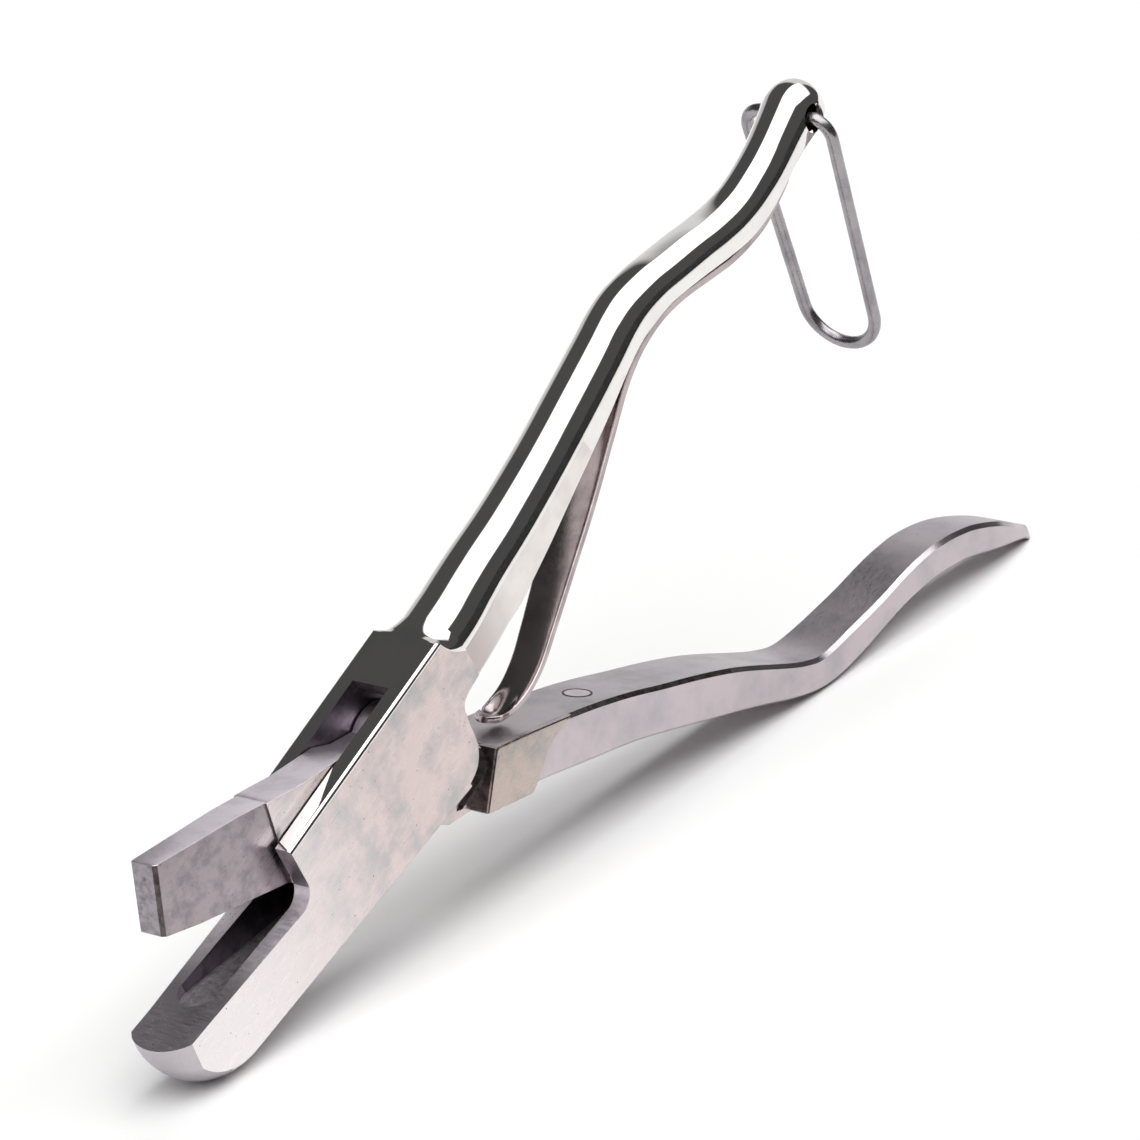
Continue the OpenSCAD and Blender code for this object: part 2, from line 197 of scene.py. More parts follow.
@dataclass(frozen=True)
class SteelFinish:
    """One finish of the steel. Sizes are in millimetres."""

    name: str
    light: Colour
    dark: Colour
    roughness: float
    cloud: float = 9.0
    cloud_depth: float = 0.5
    grain: Grain = Grain.LENGTHWISE
    grain_size: float = 0.35
    grain_bump: float = 0.05
    pits: float = 0.0
    pit_size: float = 1.1
    wave: float = 0.0
    # Colour that the tone fades to towards the jaw, painting light and shade along the tool.
    front: Colour | None = None
    front_span: tuple[float, float] = (-48.0, -115.0)
    mark_relief: ClassVar[float] = 0.0001
    pit_relief: ClassVar[float] = 0.0002
    swell_relief: ClassVar[float] = 0.0004
    swell_size: ClassVar[float] = 7.0
    patch_size: ClassVar[float] = 1.0 / 0.35

    def material(self) -> bpy.types.Material:
        """Builds the node material of this finish.

        Returns:
            A steel whose tone clouds from light to dark, with marks that run with the grain.
        """
        mat = bpy.data.materials.new(self.name)
        mat.use_nodes = True
        tree = mat.node_tree
        link = tree.links.new
        steel = tree.nodes["Principled BSDF"]
        steel.inputs["Metallic"].default_value = 1.0
        coord = add_node(tree, "ShaderNodeTexCoord")
        turned = add_node(tree, "ShaderNodeMapping", {
            "Rotation": (0.0, math.radians(PLANE.tilt), 0.0), "Scale": (MM_PER_M,) * 3})
        link(coord.outputs["Object"], turned.inputs["Vector"])
        cloud = self._noise(tree, turned, 1.0 / self.cloud, 5.0, 0.62)
        tone = add_node(tree, "ShaderNodeValToRGB")
        two_stops(tone, (0.5 - 0.28 * self.cloud_depth, self.dark),
                  (0.5 + 0.12 * self.cloud_depth, self.light))
        link(cloud.outputs["Fac"], tone.inputs["Fac"])
        stretch = add_node(tree, "ShaderNodeMapping", {"Scale": self.grain.value})
        link(turned.outputs["Vector"], stretch.inputs["Vector"])
        marks = self._noise(tree, stretch, 1.0 / self.grain_size, 3.0, 0.7)
        rough = add_node(tree, "ShaderNodeMapRange", {
            "From Min": 0.3, "From Max": 0.7,
            "To Min": self.roughness * 0.75, "To Max": self.roughness * 1.35})
        link(marks.outputs["Fac"], rough.inputs["Value"])
        link(rough.outputs["Result"], steel.inputs["Roughness"])
        shade = self._relief(tree, marks.outputs["Fac"], self.grain_bump, self.mark_relief)
        colour = tone.outputs["Color"]
        if self.front:
            colour = self._fade_painted_light(tree, turned, colour)
        if self.pits > 0.0:
            colour, shade = self._pits(tree, turned, colour, shade)
        if self.wave > 0.0:
            swell = self._noise(tree, turned, 1.0 / self.swell_size, 2.0, 0.5)
            shade = self._relief(tree, swell.outputs["Fac"], self.wave, self.swell_relief, shade)
        link(colour, steel.inputs["Base Color"])
        link(shade.outputs["Normal"], steel.inputs["Normal"])
        return mat

    def _fade_painted_light(self, tree: bpy.types.NodeTree, coord: bpy.types.Node,
              colour: bpy.types.NodeSocket) -> bpy.types.NodeSocket:
        """Fades the colour to another towards the jaw, along the length of the tool: painted light
        and shade.

        Args:
            tree: Node tree of the material.
            coord: Node that gives the place in side plane millimetres.
            colour: Colour to fade from.

        Returns:
            The faded colour.
        """
        parts = add_node(tree, "ShaderNodeSeparateXYZ")
        tree.links.new(coord.outputs["Vector"], parts.inputs["Vector"])
        share = add_node(tree, "ShaderNodeMapRange", {
            "From Min": self.front_span[0], "From Max": self.front_span[1]})
        share.interpolation_type = "SMOOTHSTEP"
        tree.links.new(parts.outputs["X"], share.inputs["Value"])
        mix = self._mix(tree, share.outputs["Result"], colour)
        mix.inputs[7].default_value = (*self.front, 1.0)
        return mix.outputs[2]

    def _pits(self, tree: bpy.types.NodeTree, coord: bpy.types.Node, colour: bpy.types.NodeSocket,
              shade: bpy.types.Node) -> tuple[bpy.types.NodeSocket, bpy.types.Node]:
        """Adds small dark pits to the colour and the relief, in patches.

        Args:
            tree: Node tree of the material.
            coord: Node that gives the place in side plane millimetres.
            colour: Colour before the pits.
            shade: Bump node before the pits.

        Returns:
            The new colour socket and the new bump node.
        """
        cells = add_node(tree, "ShaderNodeTexVoronoi", {"Scale": 1.0 / self.pit_size})
        tree.links.new(coord.outputs["Vector"], cells.inputs["Vector"])
        spot = add_node(tree, "ShaderNodeValToRGB")
        two_stops(spot, (0.06, (0.0, 0.0, 0.0)), (0.06 + 0.14 * self.pits, (1.0, 1.0, 1.0)))
        tree.links.new(cells.outputs["Distance"], spot.inputs["Fac"])
        patch = self._noise(tree, coord, 1.0 / self.patch_size, 2.0, 0.5)
        where = add_node(tree, "ShaderNodeMapRange", {"From Min": 0.5, "From Max": 0.62})
        tree.links.new(patch.outputs["Fac"], where.inputs["Value"])
        mix = self._mix(tree, where.outputs["Result"], colour)
        mix.blend_type = "MULTIPLY"
        tree.links.new(spot.outputs["Color"], mix.inputs[7])
        bump = self._relief(tree, spot.outputs["Color"], 0.5 * self.pits, self.pit_relief, shade)
        return mix.outputs[2], bump

    @staticmethod
    def _mix(tree: bpy.types.NodeTree, share: bpy.types.NodeSocket,
             colour: bpy.types.NodeSocket) -> bpy.types.Node:
        """Adds a colour mix with its share and its first colour linked.

        Args:
            tree: Node tree of the material.
            share: Share of the second colour.
            colour: First colour.

        Returns:
            The mix node, whose second colour is input 7 and whose result is output 2.
        """
        mix = tree.nodes.new("ShaderNodeMix")
        mix.data_type = "RGBA"
        tree.links.new(share, mix.inputs[0])
        tree.links.new(colour, mix.inputs[6])
        return mix

    @staticmethod
    def _relief(tree: bpy.types.NodeTree, height: bpy.types.NodeSocket, strength: float,
                distance: float, below: bpy.types.Node | None = None) -> bpy.types.Node:
        """Adds a bump node.

        Args:
            tree: Node tree of the material.
            height: Height of the relief.
            strength: Strength of the bump.
            distance: Depth of the relief in metres.
            below: Bump node that this one adds to.

        Returns:
            The bump node.
        """
        bump = add_node(tree, "ShaderNodeBump", {"Strength": strength, "Distance": distance})
        tree.links.new(height, bump.inputs["Height"])
        if below:
            tree.links.new(below.outputs["Normal"], bump.inputs["Normal"])
        return bump

    @staticmethod
    def _noise(tree: bpy.types.NodeTree, coord: bpy.types.Node, scale: float, detail: float,
               rough: float) -> bpy.types.Node:
        """Adds a noise texture.

        Args:
            tree: Node tree of the material.
            coord: Node that gives the place.
            scale: Scale of the noise, one over its size.
            detail: Number of finer layers.
            rough: Strength of each finer layer.

        Returns:
            The noise node.
        """
        noise = add_node(tree, "ShaderNodeTexNoise", {
            "Scale": scale, "Detail": detail, "Roughness": rough})
        tree.links.new(coord.outputs["Vector"], noise.inputs["Vector"])
        return noise


class Rack:
    """The finishes of the tool, each built once."""

    FINISHES: ClassVar[dict[str, SteelFinish]] = {
        "mirror": SteelFinish("mirror_handle_steel", (0.86, 0.84, 0.82), (0.80, 0.78, 0.78), 0.035,
                              grain_bump=0.012, wave=0.05),
        # Cheek: its front colour paints light on the near flat, lighter towards the nose.
        "cheek": SteelFinish("satin_cheek_steel_painted_light", (0.70, 0.590, 0.575), (0.49, 0.470, 0.475), 0.30,
                             cloud=9.0, grain_bump=0.06, pits=0.25, pit_size=1.6,
                             front=(0.84, 0.79, 0.80)),
        # Die: painted light, its colour brightened at the back where the punch shades it and darker
        # towards the nose.
        "die": SteelFinish("ground_die_steel_painted_light", (0.88, 0.82, 0.87), (0.66, 0.61, 0.66), 0.50,
                           cloud=5.0, grain=Grain.CROSSWISE, grain_size=0.22, grain_bump=0.25,
                           pits=0.9, pit_size=0.8, front=(0.27, 0.25, 0.27),
                           front_span=(-90.0, -111.0)),
        "punch": SteelFinish("worn_punch_steel", (0.38, 0.33, 0.35), (0.27, 0.24, 0.26), 0.30,
                             cloud=3.0, grain_size=0.3, grain_bump=0.18, pits=0.6),
        # Punch end: worn, with pits and upright marks, and painted darker than the punch as shade
        # on the end face.
        "punch_end": SteelFinish("worn_punch_end_steel_painted_shade", (0.36, 0.33, 0.36), (0.22, 0.20, 0.22),
                                 0.33, cloud=2.0, grain=Grain.UPRIGHT, grain_size=0.35,
                                 grain_bump=0.25, pits=0.8),
        # Punch top: a lighter copy of the punch steel, painted light on the faces of the punch and
        # web that look up.
        "punch_top": SteelFinish("painted_light_punch_top_steel", (0.80, 0.73, 0.79), (0.66, 0.60, 0.66),
                                 0.34, cloud=6.0, grain_size=0.25, grain_bump=0.1),
        "block": SteelFinish("ground_block_steel", (0.52, 0.44, 0.40), (0.40, 0.37, 0.36), 0.26,
                             cloud=6.0, grain_size=0.3, grain_bump=0.1, pits=0.4),
        "lever": SteelFinish("polished_lever_steel", (0.55, 0.485, 0.51), (0.44, 0.405, 0.43), 0.20,
                             cloud=11.0, grain_size=0.4, grain_bump=0.05, wave=0.05),
        "grip": SteelFinish("brushed_grip_steel", (0.50, 0.455, 0.480), (0.38, 0.35, 0.37), 0.34,
                            cloud=12.0, grain_size=0.3, grain_bump=0.1, pits=0.2, pit_size=1.8),
        "nose": SteelFinish("polished_nose_steel", (0.58, 0.54, 0.575), (0.50, 0.465, 0.50), 0.46,
                            cloud=8.0, grain_bump=0.03, pits=0.2),
        "flank": SteelFinish("polished_flank_steel", (0.80, 0.76, 0.73), (0.70, 0.66, 0.64), 0.16,
                             cloud=9.0, grain_bump=0.04, front=(0.50, 0.44, 0.43),
                             front_span=(-4.0, -24.0)),
        # Slot: painted shade, dark on the faces inside the slot and on the underside and ends of
        # the web.
        "slot": SteelFinish("painted_shade_slot_steel", (0.22, 0.19, 0.22), (0.12, 0.10, 0.12), 0.40,
                            cloud=4.0, grain_size=0.3, grain_bump=0.15),
        "step": SteelFinish("filed_step_steel", (0.52, 0.48, 0.52), (0.36, 0.33, 0.36), 0.36,
                            cloud=3.0, grain=Grain.UPRIGHT, grain_size=0.4, grain_bump=0.35),
        "recess": SteelFinish("rough_recess_steel", (0.46, 0.43, 0.46), (0.30, 0.275, 0.30), 0.50,
                              cloud=1.6, grain=Grain.UPRIGHT, grain_size=0.5, grain_bump=0.4,
                              pits=0.9, pit_size=1.1),
        "joint": SteelFinish("dark_joint_steel", (0.045, 0.035, 0.035), (0.02, 0.016, 0.016), 0.45,
                             cloud=2.0, grain_size=0.2),
        # Edge: painted dark, as dark reflection along the near top bevels of the lower handle and
        # the block, and on the block's front-facing top and the punch's ground-off corner.
        "edge": SteelFinish("painted_dark_edge_steel", (0.13, 0.11, 0.11), (0.05, 0.04, 0.04), 0.30,
                            cloud=2.0, grain_size=0.2, grain_bump=0.3),
        "spring": SteelFinish("spring_strip_steel", (0.50, 0.43, 0.43), (0.34, 0.29, 0.30), 0.16,
                              cloud=8.0, grain_size=0.22, grain_bump=0.12),
        "wire": SteelFinish("drawn_wire_steel", (0.38, 0.355, 0.37), (0.28, 0.26, 0.28), 0.26,
                            cloud=6.0, grain=Grain.UPRIGHT, grain_size=0.3, grain_bump=0.15),
        "rivet": SteelFinish("rivet_disc_steel", (0.60, 0.54, 0.57), (0.50, 0.45, 0.48), 0.18,
                             cloud=3.0, grain_bump=0.05),
    }

    def __init__(self) -> None:
        """Starts with no material built."""
        self._made: dict[str, bpy.types.Material] = {}

    def get(self, key: str) -> bpy.types.Material:
        """The material of a finish."""
        if key not in self._made:
            self._made[key] = self.FINISHES[key].material()
        return self._made[key]


class Blank:
    """Raw mesh shapes in side plane millimetres."""

    @staticmethod
    def _grow(outline: Sequence[Sequence[float]], move: Sequence[float]) -> bmesh.types.BMesh:
        """Closed outline extruded by a vector.

        Args:
            outline: Points round the face.
            move: How far and which way it is extruded.

        Returns:
            The closed solid, its normals not yet turned outwards.
        """
        bm = bmesh.new()
        face = bm.faces.new([bm.verts.new(p) for p in outline])
        grown = bmesh.ops.extrude_face_region(bm, geom=[face])
        verts = [g for g in grown["geom"] if isinstance(g, bmesh.types.BMVert)]
        bmesh.ops.translate(bm, verts=verts, vec=move)
        return bm

    @staticmethod
    def plate(outline: Sequence[Point],
              half: float | Callable[[float], float]) -> bmesh.types.BMesh:
        """Outline given thickness across the middle plane.

        Args:
            outline: Closed line of (x, z).
            half: Half thickness, or a rule that gives it at x.

        Returns:
            The closed plate.
        """
        bm = Blank._grow([(x, -1.0, z) for x, z in outline], (0.0, 2.0, 0.0))
        for v in bm.verts:
            v.co.y *= half(v.co.x) if callable(half) else half
        bmesh.ops.recalc_face_normals(bm, faces=bm.faces)
        return bm

    @staticmethod
    def pillar(plan: Sequence[Point]) -> bmesh.types.BMesh:
        """Plan outline of (x, y) raised over the full reach of a cutter."""
        bm = Blank._grow([(x, y, -REACH) for x, y in plan], (0.0, 0.0, 2 * REACH))
        bmesh.ops.recalc_face_normals(bm, faces=bm.faces)
        return bm

    @staticmethod
    def bar(section: Sequence[Point], start: float, stop: float) -> bmesh.types.BMesh:
        """Section of (y, z) run along X from start to stop."""
        bm = Blank._grow([(start, y, z) for y, z in section], (stop - start, 0.0, 0.0))
        bmesh.ops.recalc_face_normals(bm, faces=bm.faces)
        return bm

    @staticmethod
    def turned(profile: Sequence[Point], steps: int) -> bmesh.types.BMesh:
        """Profile spun round Z.

        Args:
            profile: Points of (radius, height), from axis to axis.
            steps: Number of steps in the full turn.

        Returns:
            The closed solid.
        """
        bm = bmesh.new()
        verts = [bm.verts.new((r, 0.0, z)) for r, z in profile]
        edges = [bm.edges.new(pair) for pair in zip(verts, verts[1:])]
        bmesh.ops.spin(bm, geom=verts + edges, cent=(0.0, 0.0, 0.0), axis=(0.0, 0.0, 1.0),
                       angle=2 * math.pi, steps=steps, use_merge=True, use_duplicate=False)
        bmesh.ops.remove_doubles(bm, verts=bm.verts, dist=1e-5)
        bmesh.ops.recalc_face_normals(bm, faces=bm.faces)
        return bm

    @staticmethod
    def skin(rings: Sequence[Sequence[Vector]], closed: bool = False) -> bmesh.types.BMesh:
        """Rings of the same number of points, skinned one to the next.

        Args:
            rings: Points round each section.
            closed: True where the last ring meets the first, so that nothing is capped.

        Returns:
            The closed skin.
        """
        bm = bmesh.new()
        rows = [[bm.verts.new(p) for p in ring] for ring in rings]
        size = len(rows[0])
        pairs = list(zip(rows, rows[1:])) + ([(rows[-1], rows[0])] if closed else [])
        for a, b in pairs:
            for k in range(size):
                n = (k + 1) % size
                bm.faces.new((a[k], a[n], b[n], b[k]))
        if not closed:
            bm.faces.new(rows[0])
            bm.faces.new(rows[-1])
        bmesh.ops.recalc_face_normals(bm, faces=bm.faces)
        return bm

    @staticmethod
    def soften(bm: bmesh.types.BMesh, width: float, sharp: float = 30.0,
               clamp: bool = True) -> bmesh.types.BMesh:
        """Rounds the sharper edges of a mesh.

        Args:
            bm: Mesh to round.
            width: Width of the rounding.
            sharp: Angle in degrees above which an edge is rounded.
            clamp: Whether the width is held back where edges lie close.

        Returns:
            The same mesh.
        """
        edges = [e for e in bm.edges if len(e.link_faces) == 2
                 and e.calc_face_angle(0.0) > math.radians(sharp)]
        bmesh.ops.bevel(bm, geom=edges, offset=width, offset_type="OFFSET", segments=3,
                        profile=0.5, affect="EDGES", clamp_overlap=clamp, material=-1)
        bmesh.ops.recalc_face_normals(bm, faces=bm.faces)
        return bm

    @staticmethod
    def place(bm: bmesh.types.BMesh, turn: float, axis: str,
              move: Sequence[float] = (0.0, 0.0, 0.0)) -> bmesh.types.BMesh:
        """Turns a mesh about an axis through the origin, then moves it.

        Args:
            bm: Mesh to place.
            turn: Angle in degrees.
            axis: Name of the axis.
            move: Vector that it is moved by.

        Returns:
            The same mesh.
        """
        bmesh.ops.rotate(bm, verts=bm.verts, cent=(0, 0, 0),
                         matrix=Matrix.Rotation(math.radians(turn), 3, axis))
        bmesh.ops.translate(bm, verts=bm.verts, vec=move)
        return bm


class Workpiece:
    """A mesh object in the making, still in side plane millimetres."""

    def __init__(self, name: str, bm: bmesh.types.BMesh) -> None:
        """Links a new object with the mesh, which is used up."""
        mesh = bpy.data.meshes.new(name)
        bm.to_mesh(mesh)
        bm.free()
        self.obj = bpy.data.objects.new(name, mesh)
        bpy.context.collection.objects.link(self.obj)

    def cut(self, tool: "Workpiece", how: str = "DIFFERENCE") -> "Workpiece":
        """Cuts this piece with a tool, which is used up.

        Args:
            tool: Piece that cuts.
            how: Blender's name of the boolean operation.

        Returns:
            This piece.
        """
        mod = self.obj.modifiers.new("cut", "BOOLEAN")
        mod.operation = how
        mod.solver = "EXACT"
        mod.object = tool.obj
        graph = bpy.context.evaluated_depsgraph_get()
        made = bpy.data.meshes.new_from_object(self.obj.evaluated_get(graph))
        self.obj.modifiers.clear()
        old, self.obj.data = self.obj.data, made
        bpy.data.meshes.remove(old)
        spent = tool.obj.data
        bpy.data.objects.remove(tool.obj)
        bpy.data.meshes.remove(spent)
        return self

    def dress(self, rack: Rack, body: str, finishes: Sequence[str],
              sharp: float = 28.0, nodes: Sequence[str] = (),
              paint: Callable[[Vector, Vector], str] | None = None) -> bpy.types.Object:
        """Finishes the piece: its steel by face, place on the ground, shading and body.

        Args:
            rack: Where the finishes hang.
            body: Body that it moves with.
            finishes: Names of its finishes, the main one first.
            sharp: Angle in degrees above which an edge stays sharp.
            nodes: Solids that it stands for.
            paint: Rule from a face's centre and normal to the name of its finish.

        Returns:
            The finished object.
        """
        mesh = self.obj.data
        mesh.materials.clear()
        for key in finishes:
            mesh.materials.append(rack.get(key))
        for face in mesh.polygons:
            key = paint(face.center, face.normal) if paint else finishes[0]
            face.material_index = finishes.index(key)
            face.use_smooth = True
        mesh.transform(PLANE.matrix)
        mesh.set_sharp_from_angle(angle=math.radians(sharp))
        mesh.update()
        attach(self.obj, body)
        if nodes:
            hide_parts(*nodes)
        log.info("%s: %d faces on %s", self.obj.name, len(mesh.polygons), body)
        return self.obj


@dataclass
class Frame:
    """Die jaw, two cheeks with the slot between them and the polished upper handle."""

    half_w: float = 8.0
    cheek_top: float = 15.0
    step_back: float = 38.4
    step_fillet: float = 4.0
    cheek_bevel: float = 0.9
    slot_half: float = 4.3
    jaw_slope: float = 5.8
    die_drop: float = 1.64
    nose_r: float = 9.18
    nose_half: float = 7.5
    nose_far_half: float = 6.5
    nose_back: float = 73.0
    under_r: float = 8.9
    under_drop: float = 9.9
    under_side: float = 0.9
    dome_drop: float = 0.8
    dome_back: float = 65.0
    recess_back: float = 70.0
    recess_depth: float = 1.2
    hole_at: Point = (161.1, 11.8)
    hole_r: float = 2.4
    knots: list[tuple[float, float, float, float]] = field(default_factory=lambda: [
        (14, 7.0, 8.0, 6.9), (20, 7.0, 8.0, 6.6), (26, 7.3, 7.85, 6.5), (32, 8.1, 7.55, 6.8),
        (38, 8.7, 7.3, 7.2), (48.7, 9.4, 7.0, 5.9), (62.9, 11.2, 6.7, 4.3), (76.6, 13.6, 6.6, 3.2),
        (88, 15.8, 6.4, 2.1), (94, 17.1, 6.3, 2.1), (99, 17.5, 6.2, 2.5), (105.5, 16.5, 6.1, 2.1),
        (111, 14.9, 6.1, 1.9), (119.5, 12.4, 6.0, 2.2), (126, 10.3, 5.9, 2.4),
        (132.5, 8.7, 5.8, 2.7), (139, 8.0, 5.6, 2.7), (145.5, 8.3, 5.6, 2.1), (151, 9.2, 5.6, 1.6),
        (156, 10.4, 5.8, 2.1), (161, 11.6, 6.2, 2.9)])
    toe: Curve = field(default_factory=lambda: [
        (14.4, 15.0), (15.0, 14.3), (15.5, 13.0), (16.3, 11.1), (17.9, 9.0), (20.0, 7.0)])
    end_len: float = 7.3
    end_lean: float = 13.0
    foot_bevel: float = 0.6
    finishes: ClassVar[list[str]] = ["cheek", "die", "mirror", "nose", "slot", "step", "recess"]

    @property
    def up(self) -> Vector:
        """Direction that the die face looks in."""
        slope = math.radians(self.jaw_slope)
        return Vector((math.sin(slope), 0.0, math.cos(slope)))

    def die_z(self, x: float) -> float:
        """Height of the die face at x."""
        s = math.radians(self.jaw_slope)
        return (-self.die_drop - x * math.sin(s)) / math.cos(s)

    def _side(self) -> Curve:
        """Outline of the jaw and the cheeks from the side.

        Returns:
            Points of (x, z), open towards the nose, the top and the underside.
        """
        foot = self.die_z(-self.step_back) + 0.2
        rear = spline([(16.2, 0.2), (13.6, -0.8), (12.6, -4), (11.8, -10.6), (9.4, -14),
                       (6, -15.2)], DENSE)
        hollow = arc((-self.step_back - self.step_fillet, foot + self.step_fillet),
                     self.step_fillet, -90 - self.jaw_slope, 0, 16)
        return [(FRONT, self.die_z(FRONT)), *hollow, (-self.step_back, 20.0), (19.9, 20.0),
                (19.9, 0.6), *rear, (6, -50), (FRONT, -50)]

    def _plan(self) -> Curve:
        """Plan that narrows to the nose, more on the far side.

        Returns:
            Closed line of (x, y).
        """
        return [(FRONT, -self.nose_half), (-self.nose_back, -self.nose_half),
                (-self.step_back, -self.half_w), (REACH, -self.half_w), (REACH, self.half_w),
                (-self.step_back, self.half_w), (-self.nose_back, self.nose_far_half),
                (FRONT, self.nose_far_half)]

    def _under(self) -> bmesh.types.BMesh:
        """Jaw with a rounded underside, domed under the nose.

        Returns:
            The solid that the jaw is cut back to from below.
        """
        rings: list[list[Vector]] = []
        arcs, turns, back = 48, 40, 90.0
        section = [(-self.half_w, 0.0)] + [
            (y, self.under_r * math.sqrt(max(0.0, 1 - ((y + self.under_side) / self.under_r) ** 2)))
            for y in (self.half_w * math.sin(math.radians(90 * (2 * i / arcs - 1)))
                      for i in range(arcs + 1))] + [(self.half_w, 0.0)]
        centre = self.under_drop - self.dome_drop
        for i in range(turns + 1):
            a = math.radians(90.0 * i / turns)
            ring = [Vector((-self.dome_back - (centre + d) * math.cos(a), y,
                            -self.dome_drop - (centre + d) * math.sin(a))) for y, d in section]
            rings.append(ring)
        rings.append([Vector((back, y, -self.dome_drop - centre - d)) for y, d in section])
        bm = bmesh.new()
        rows = [[bm.verts.new(p) for p in ring] for ring in rings]
        lid_front = [bm.verts.new((p.co.x, p.co.y, REACH)) for p in rows[0]]
        lid_back = [bm.verts.new((back, p.co.y, REACH)) for p in rows[-1]]
        count = len(rows[0])
        for a, b in zip([lid_front, *rows], [*rows, lid_back]):
            for k in range(count - 1):
                bm.faces.new((a[k], a[k + 1], b[k + 1], b[k]))
        for k in range(count - 1):
            bm.faces.new((lid_back[k], lid_back[k + 1], lid_front[k + 1], lid_front[k]))
        bm.faces.new([lid_front[0], *[r[0] for r in rows], lid_back[0]])
        bm.faces.new([lid_front[-1], *[r[-1] for r in rows], lid_back[-1]])
        bmesh.ops.recalc_face_normals(bm, faces=bm.faces)
        return Blank.place(bm, self.jaw_slope, "Y")

    def _crown_front(self) -> bmesh.types.BMesh:
        """Top that runs from the flat cheek tops into the round crown of the handle.

        Returns:
            The solid that the cheeks are cut back to from above.
        """
        toe = spline(self.toe, 6)
        places = [-130.0, 14.3] + [14.4 + 5.6 * i / 56 for i in range(57)] + [60.0]
        rings: list[list[Vector]] = []
        for x in places:
            low = min(14.999, along(toe, x))
            line = []
            for i in range(91):
                y = self.half_w * math.sin(math.radians(2.0 * i - 90.0))
                t = min(1.0, abs(y) / self.half_w)
                line.append((y, low + (self.cheek_top - low) * math.sqrt(1 - t * t)))
            wide = self.half_w + 0.5
            section = [(-wide, -60.0), (-wide, low - 3.0), *line, (wide, low - 3.0), (wide, -60.0)]
            rings.append([Vector((x, y, z)) for y, z in section])
        return Blank.skin(rings)

    def _nose(self) -> bmesh.types.BMesh:
        """Upright post with the round nose in front.

        Returns:
            The solid that the jaw is cut back to from the front.
        """
        root, side, back = 5.0 - self.nose_back, 20.0, 90.0
        nose = arc((-self.nose_back, 0.0), self.nose_r, 62, 298, 72)
        plan = [(root, side), *nose, (root, -side), (back, -side), (back, side)]
        return Blank.place(Blank.pillar(plan), self.jaw_slope, "Y")

    def _slot(self) -> Workpiece:
        """The slot between the cheeks with the round-ended recess in the die.

        Returns:
            The cutter.
        """
        front = (-self.recess_back, self.die_z(-self.recess_back) - self.recess_depth)
        side = [(FRONT, 50), (2.2, 50), (2.2, 14), (3.0, 11.5), (4.8, 8.8), (8.9, 3.6),
                (13.2, -0.4), (20, -3.5), (20, -50), (-5, -50), (-5, -17.6), front,
                (FRONT, front[1])]
        cut = Workpiece("slot_tool", Blank.plate(side, self.slot_half))
        round_end = arc((self.slot_half - self.recess_back, 0.0), self.slot_half, 90, 270, 40)
        plan = [*round_end, (REACH, -self.slot_half), (REACH, self.slot_half)]
        return cut.cut(Workpiece("slot_plan", Blank.pillar(plan)), "INTERSECT")

    def _handle(self) -> bmesh.types.BMesh:
        """Arch section carried along the bent line of the handle.

        Returns:
            The closed handle, its end rounded off.
        """
        run = spline(self.knots, DENSE)
        x, z, r, d = run[-1]
        lean = math.radians(self.end_lean)
        for i in range(1, 19):
            a = math.radians(89.0 * i / 18)
            k = math.cos(a) ** 0.8
            run.append((x + self.end_len * math.sin(a) * math.cos(lean),
                        z + self.end_len * math.sin(a) * math.sin(lean), r * k, d * k))
        rings: list[list[Vector]] = []
        last = len(run) - 1
        for i, (x, z, r, d) in enumerate(run):
            p, q = run[max(0, i - 1)], run[min(last, i + 1)]
            step = Vector((q[0] - p[0], q[1] - p[1])).normalized()
            r = min(r, self.half_w) * (0.9985 if x < 20.5 else 1.0)
            f = self.foot_bevel * r / self.half_w
            foot = arc((f - r, f - d), f, 180, 270, 4) + arc((r - f, f - d), f, 270, 360, 4)
            section = arc((0, 0), r, 0, 180, 56) + foot
            rings.append([Vector((x - step.y * n, y, z + step.x * n)) for y, n in section])
        return Blank.skin(rings)

    def _bail_hole(self) -> Workpiece:
        """Cutter of the bail's hole with rounded mouths.

        Returns:
            The cutter.
        """
        mouth, flare, top = 4.2, 2.4, 7.4
        rise = [(self.hole_r + 2.0 * (1 - math.cos(math.radians(a))),
                 mouth + flare * math.sin(math.radians(a))) for a in range(15, 91, 15)]
        upper = [(self.hole_r, 0.0), (self.hole_r, mouth), *rise, (self.hole_r + flare, top),
                 (0.0, top)]
        lower = [(r, -h) for r, h in reversed(upper)]
        bm = Blank.turned(lower + upper[1:], 64)
        return Workpiece("hole_tool", Blank.place(bm, 90, "X", (self.hole_at[0], 0.0,
                                                                self.hole_at[1])))

    def _ground(self, centre: Vector, normal: Vector) -> str:
        """Finish of each face: flanks are satin, the top polished, the faces in the slot painted
        dark as shade and the rest ground.

        Args:
            centre: Middle of the face in the side plane.
            normal: Way that it looks.

        Returns:
            The name of its finish.
        """
        inside = abs(centre.y) < self.slot_half + 0.05
        rise = normal.dot(self.up)
        deep = self.die_z(centre.x) - centre.z
        if centre.x > -38.0 and centre.z > 6.0 and normal.z > 0.05:
            return "mirror"
        if (inside and -self.recess_back - 0.1 < centre.x < -30.0
                and (deep > 0.6 or 0.0 < deep and rise < 0.3)):
            return "recess"
        if centre.x < -self.step_back + 0.2 and rise > 0.2:
            return "die"
        if normal.x < -0.7 and -50 < centre.x < -30:
            return "step"
        if centre.x < -self.nose_back and abs(normal.y) < 0.97:
            return "nose"
        # Faces inside the slot are painted dark as shade; upward faces towards the jaw keep the die
        # steel.
        if inside and (rise > -0.5 or centre.x > -5.0):
            return "die" if rise > 0.9 and centre.x < -20.0 else "slot"
        return "cheek"

    @staticmethod
    def _polished(centre: Vector, normal: Vector) -> str:
        """The handle's flat flanks are less bright than its crown."""
        return "flank" if abs(normal.y) > 0.992 and centre.x < 70.0 else "mirror"

